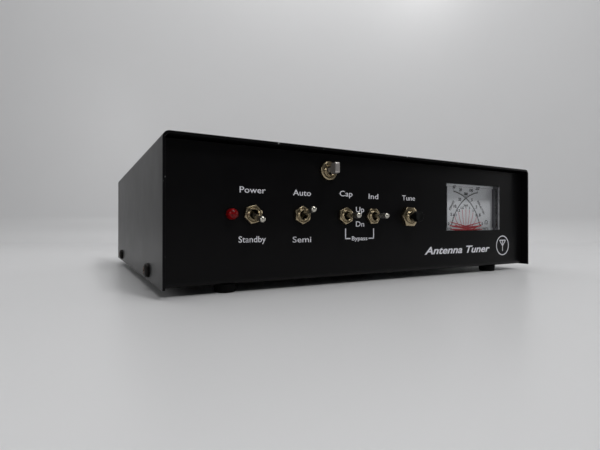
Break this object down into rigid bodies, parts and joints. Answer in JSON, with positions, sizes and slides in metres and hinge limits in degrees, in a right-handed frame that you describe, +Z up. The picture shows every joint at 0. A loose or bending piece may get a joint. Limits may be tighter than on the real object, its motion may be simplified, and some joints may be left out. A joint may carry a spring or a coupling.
{
  "type": "antenna tuner",
  "caption": "Low black steel case with toggle switches, a push button, a lamp and a cross-needle meter on its recessed front panel, radio sockets and a ground terminal behind.",
  "frame": {"origin": "middle of the bounding box at the bottom of the rubber feet", "axes": "+X to the right seen from the front, +Y from the control panel to the rear sockets, +Z up"},
  "size_m": [0.2516, 0.2254, 0.07],
  "materials": {
    "black_paint": "satin black baked paint with a fine grain",
    "dark_screw": "blackened steel worn brown at the recess",
    "foot_rubber": "matt black rubber",
    "board_laminate": "green solder resist on glass laminate",
    "plated_brass": "nickel plated brass",
    "zinc_steel": "bright zinc plate",
    "relay_case": "moulded black plastic",
    "core_paint": "red painted powder core",
    "enamelled_copper": "enamelled copper wire",
    "capacitor_resin": "dipped resin",
    "chip_resin": "moulded epoxy",
    "crystal_can": "drawn metal can",
    "heatsink_aluminium": "plain aluminium",
    "ferrite": "sintered ferrite",
    "capacitor_sleeve": "heat-shrunk sleeve",
    "trimmer_plastic": "moulded blue plastic",
    "black_nylon": "moulded nylon",
    "natural_nylon": "unfilled nylon",
    "wire_insulation": "PVC insulation",
    "lead_insulation": "PVC insulation",
    "socket_nickel": "bright nickel plate",
    "socket_insulator": "PTFE",
    "contact_gilt": "gold flash on brass",
    "contact_nickel": "nickel plate",
    "meter_plastic": "moulded black plastic",
    "clear_plastic": "clear polystyrene",
    "dial_paint": "white enamel on aluminium",
    "magnet_steel": "sintered magnet and steel yoke",
    "terminal_brass": "turned brass",
    "needle_paint": "red lacquer",
    "switch_resin": "moulded phenolic",
    "bushing_nickel": "dull nickel over brass",
    "terminal_tin": "tinned brass",
    "lever_chrome": "polished plate",
    "button_plastic": "moulded black plastic",
    "spring_steel": "music wire",
    "lamp_resin": "tinted diffused epoxy, unlit"
  },
  "bodies": {
    "case": {"cover": "black_paint", "chassis": "black_paint", "cover_screws": "dark_screw", "rubber_feet": "foot_rubber", "main_board": "board_laminate", "board_standoffs": "plated_brass", "board_screws": "zinc_steel", "standoff_screws": "zinc_steel", "relays": "relay_case", "inductor_cores": "core_paint", "inductor_windings": "enamelled_copper", "air_coils": "enamelled_copper", "tuning_capacitors": "capacitor_resin", "controller_chip": "chip_resin", "controller_socket": "chip_resin", "crystal": "crystal_can", "voltage_regulator": "chip_resin", "regulator_heatsink": "heatsink_aluminium", "coupler_cores": "ferrite", "coupler_windings": "enamelled_copper", "filter_capacitors": "capacitor_sleeve", "trimmers": "trimmer_plastic", "panel_header": "black_nylon", "panel_plug": "natural_nylon", "panel_harness": "wire_insulation", "rear_leads": "lead_insulation", "rf_socket_bodies": "socket_nickel", "rf_socket_insulators": "socket_insulator", "rf_socket_contacts": "contact_gilt", "rf_socket_screws": "zinc_steel", "rf_socket_nuts": "zinc_steel", "power_inlet": "black_nylon", "power_inlet_nut": "zinc_steel", "power_inlet_pin": "contact_nickel", "ground_stud": "zinc_steel", "ground_nuts": "zinc_steel", "meter_housing": "meter_plastic", "meter_window": "clear_plastic", "meter_dial": "dial_paint", "meter_magnets": "magnet_steel", "meter_terminals": "terminal_brass", "switch_bodies": "switch_resin", "switch_bushings": "bushing_nickel", "switch_back_nuts": "bushing_nickel", "toggle_nuts": "bushing_nickel", "selector_nut": "bushing_nickel", "tune_nut": "bushing_nickel", "switch_terminals": "terminal_tin", "tune_spring": "spring_steel", "status_lamp": "lamp_resin"},
    "power_toggle": {"power_lever": "lever_chrome"},
    "auto_toggle": {"auto_lever": "lever_chrome"},
    "capacitor_toggle": {"capacitor_lever": "lever_chrome"},
    "inductor_toggle": {"inductor_lever": "lever_chrome"},
    "selector_toggle": {"selector_lever": "lever_chrome"},
    "tune_plunger": {"tune_button": "button_plastic"},
    "forward_pointer": {"forward_needle": "needle_paint"},
    "reflected_pointer": {"reflected_needle": "needle_paint"},
    "clamp_washer": {"ground_washer": "zinc_steel"},
    "wing_nut": {"ground_wing_nut": "zinc_steel"}
  },
  "joints": [
    {"name": "power_switch", "type": "hinge", "parent": "case", "child": "power_toggle", "pos_m": [-0.0824, -0.0982, 0.036], "axis": [-1, 0, 0], "range_deg": [0, 22]},
    {"name": "auto_switch", "type": "hinge", "parent": "case", "child": "auto_toggle", "pos_m": [-0.0562, -0.0982, 0.036], "axis": [1, 0, 0], "range_deg": [0, 22]},
    {"name": "capacitor_switch", "type": "hinge", "parent": "case", "child": "capacitor_toggle", "pos_m": [-0.03, -0.0982, 0.036], "axis": [-1, 0, 0], "range_deg": [-11, 11], "stiffness_Nm_per_rad": 0.01},
    {"name": "inductor_switch", "type": "hinge", "parent": "case", "child": "inductor_toggle", "pos_m": [-0.0118, -0.0982, 0.036], "axis": [-1, 0, 0], "range_deg": [-11, 11], "stiffness_Nm_per_rad": 0.01},
    {"name": "selector_switch", "type": "hinge", "parent": "case", "child": "selector_toggle", "pos_m": [-0.0407, -0.0982, 0.059], "axis": [0, 0, 1], "range_deg": [0, 22]},
    {"name": "tune_press", "type": "slide", "parent": "case", "child": "tune_plunger", "axis": [0, 1, 0], "range_m": [0, 0.002], "stiffness_N_per_m": 60, "springref_m": -0.003, "deforming": ["tune_spring"]},
    {"name": "forward_swing", "type": "hinge", "parent": "case", "child": "forward_pointer", "pos_m": [0.08795, -0.0993, 0.0227], "axis": [0, 1, 0], "range_deg": [0, 66], "stiffness_Nm_per_rad": 0.0001, "springref_deg": -20.05},
    {"name": "reflected_swing", "type": "hinge", "parent": "case", "child": "reflected_pointer", "pos_m": [0.05625, -0.0993, 0.0227], "axis": [0, -1, 0], "range_deg": [0, 66], "stiffness_Nm_per_rad": 0.0001, "springref_deg": -20.05},
    {"name": "washer_slide", "type": "slide", "parent": "case", "child": "clamp_washer", "axis": [0, 1, 0], "range_m": [0, 0.0021]},
    {"name": "wing_nut_turn", "type": "hinge", "parent": "clamp_washer", "child": "wing_nut", "pos_m": [0.044, 0.0967, 0.018], "axis": [0, -1, 0], "range_deg": [0, 1080]}
  ],
  "couplings": [
    {"joint": "washer_slide", "follows": "wing_nut_turn", "m_per_rad": 0.00011141}
  ]
}
